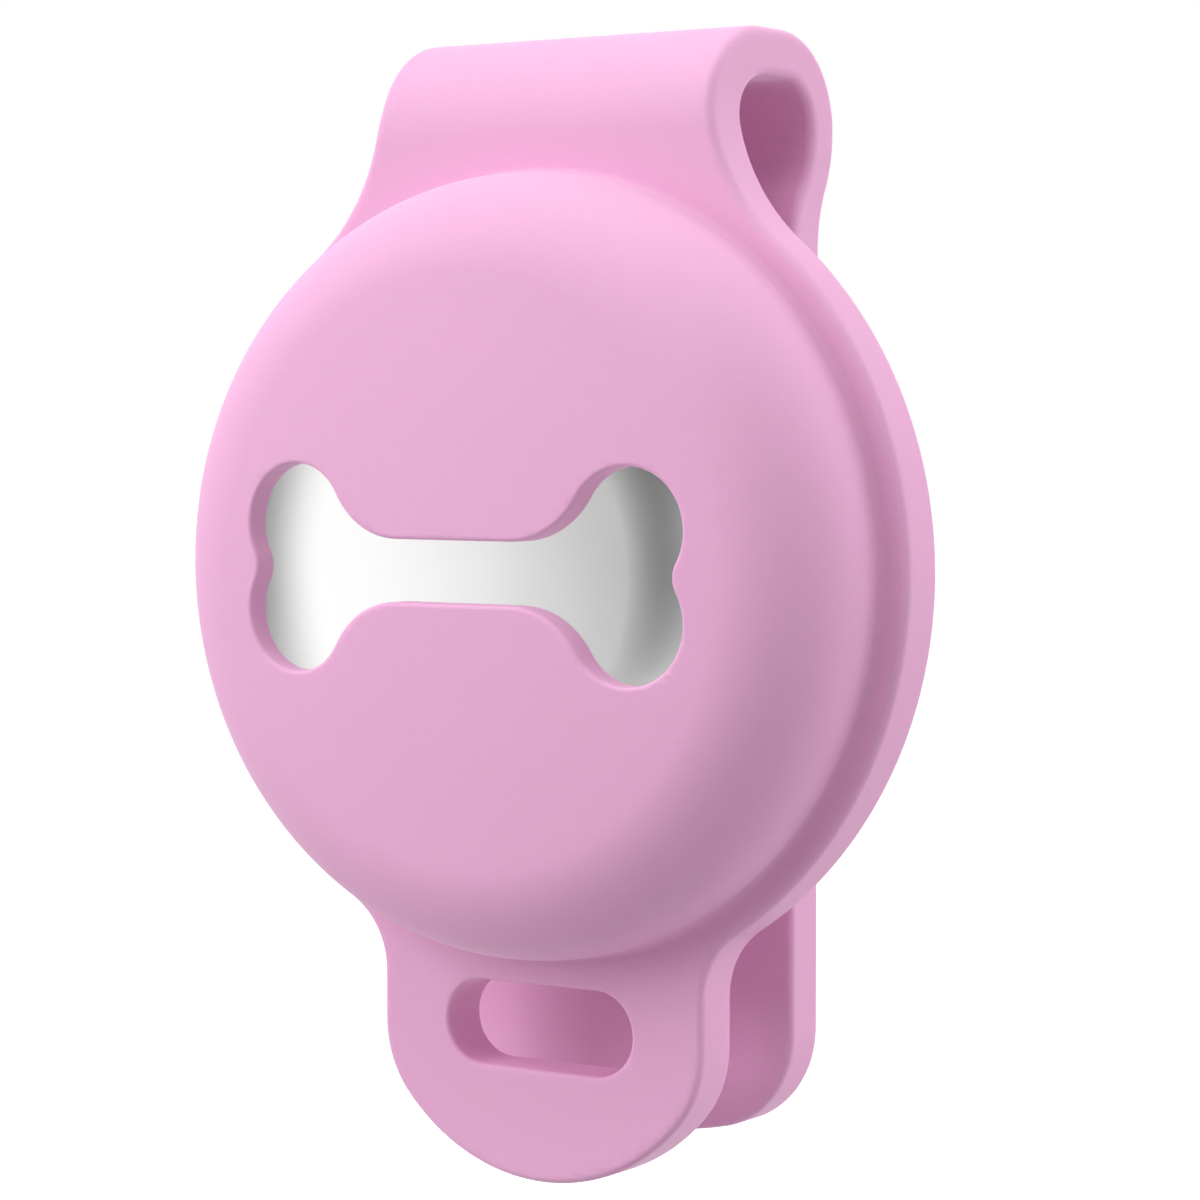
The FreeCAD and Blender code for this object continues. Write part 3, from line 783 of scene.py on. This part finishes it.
# %% [markdown]
# ## Light
# The photograph is lit softly from above, from the left in front and a little from the front, high
# up. Two lights on the right, one of them behind, pick out the edges, and the first one reaches
# the slot through the gap of the fold. Each of these is a soft box, which is a square area lamp
# here. One more stands behind on the left, where it hardly touches the front, so that the back can
# be looked at too. The world adds a little light from all round. Only the soft box above shows in
# reflections.

# %% Hang the lamps
middle = (Vector(cad_low) + Vector(cad_high)) / 2


def soft_box(name, place, size, watts, mirrored=False):
    """A square lamp that points at the object's middle."""
    lamp = bpy.data.lights.new(name, "AREA")
    lamp.size, lamp.energy = size, watts
    stand = bpy.data.objects.new(name, lamp)
    stand.location = middle + Vector(place)
    stand.rotation_euler = (-Vector(place)).to_track_quat("-Z", "Y").to_euler()
    stand.visible_glossy = mirrored
    bpy.context.scene.collection.objects.link(stand)


soft_box("box_above", (0, -0.05, 0.6), 0.6, 2.1, mirrored=True)
soft_box("box_left_front", (-0.4, -0.4, 0.25), 0.5, 2.6)
soft_box("box_front_above", (-0.05, -0.4, 0.45), 0.5, 0.65)
soft_box("box_right", (0.6, 0.06, 0.1), 0.25, 0.55)
soft_box("box_right_rear", (0.45, 0.4, 0.15), 0.45, 1.7)
soft_box("box_left_rear", (-0.35, 0.5, 0.2), 0.45, 1.6)

world = bpy.data.worlds.new("white_room")
world.use_nodes = True
bpy.context.scene.world = world
backdrop = world.node_tree.nodes["Background"]
strength = room_light + (1 - room_light) * seen_directly(world.node_tree)
world.node_tree.links.new(strength.socket, backdrop.inputs["Strength"])
backdrop.inputs["Color"].default_value = (1, 1, 1, 1)
bpy.context.scene.view_settings.view_transform = "Standard"

# %% [markdown]
# ## Something for the steel to mirror
# Polished metal in an all-white room looks like white paint, because it has no colour of its own to
# show. Photographers set up cards for it. Here a curved wall of soft light and grey stripes stands
# round the front, and only reflections can see it: it neither lights the silicone nor hides the
# background. The stripes follow the angle round the object, worked out from the wall's own place.
# In the photograph the steel doesn't mirror the pink edge of the window either, so the moulding is
# left out of reflections too.

# %% Stand the striped wall
wall_radius, wall_height, wall_panels = 0.32, 0.5, 32
wall_turn = math.radians(75)
stripe_turn, brightest_turn = math.radians(60), math.radians(43.5)
wall_glow = 1.45


def wall_finish():
    finish = Finish("striped_wall")
    parts = [finish.node("ShaderNodeSeparateXYZ", {}, {0: finish.place}, side) for side in "XY"]
    turn = parts[0].math("ARCTAN2", -1 * parts[0], -1 * parts[1])
    wave = turn.math("COSINE", (turn - brightest_turn) * (2 * math.pi / stripe_turn), 0)
    return finish.set(
        Base_Color=(0, 0, 0, 1),
        Emission_Color=finish.between(0.5 + 0.5 * wave, colour("0A0A0A"), colour("FFFFFF")),
        Emission_Strength=wall_glow,
    )


wall_mesh = bpy.data.meshes.new("striped_wall")
wall_points, wall_faces = [], []
for panel in range(wall_panels + 1):
    turn = wall_turn * (2 * panel / wall_panels - 1)
    foot = Vector((-math.sin(turn), -math.cos(turn), 0)) * wall_radius
    for height in (floor_height, floor_height + wall_height):
        wall_points.append(foot + Vector((0, 0, height)))
    if panel:
        wall_faces.append((2 * panel - 2, 2 * panel, 2 * panel + 1, 2 * panel - 1))
wall_mesh.from_pydata(wall_points, [], wall_faces)
wall_mesh.materials.append(wall_finish())
wall = bpy.data.objects.new("striped_wall", wall_mesh)
bpy.context.scene.collection.objects.link(wall)
wall.visible_camera = wall.visible_diffuse = wall.visible_shadow = wall.visible_transmission = False
holder_moulding.visible_glossy = False
print("striped wall with", len(wall_faces), "panels")

# %% [markdown]
# ## The camera
# The photograph was taken from the right and a touch above, from close by. Its place and its focal
# length were found by matching the outline of the dome, the plate and the loop.

# %% Set up the camera
camera_place = (0.10008, -0.15041, -0.0132)
camera_target = (0.003644, -0.00625, -0.0222)
focal_length, nearest_seen = 108.5, 0.01
camera = bpy.data.objects.new("camera", bpy.data.cameras.new("camera"))
camera.location = camera_place
aim = Vector(camera_target) - Vector(camera_place)
camera.rotation_euler = aim.to_track_quat("-Z", "Y").to_euler()
camera.data.lens = focal_length
camera.data.clip_start = nearest_seen
bpy.context.scene.collection.objects.link(camera)
bpy.context.scene.camera = camera
print("camera", round(aim.length, 4), "m from its target")
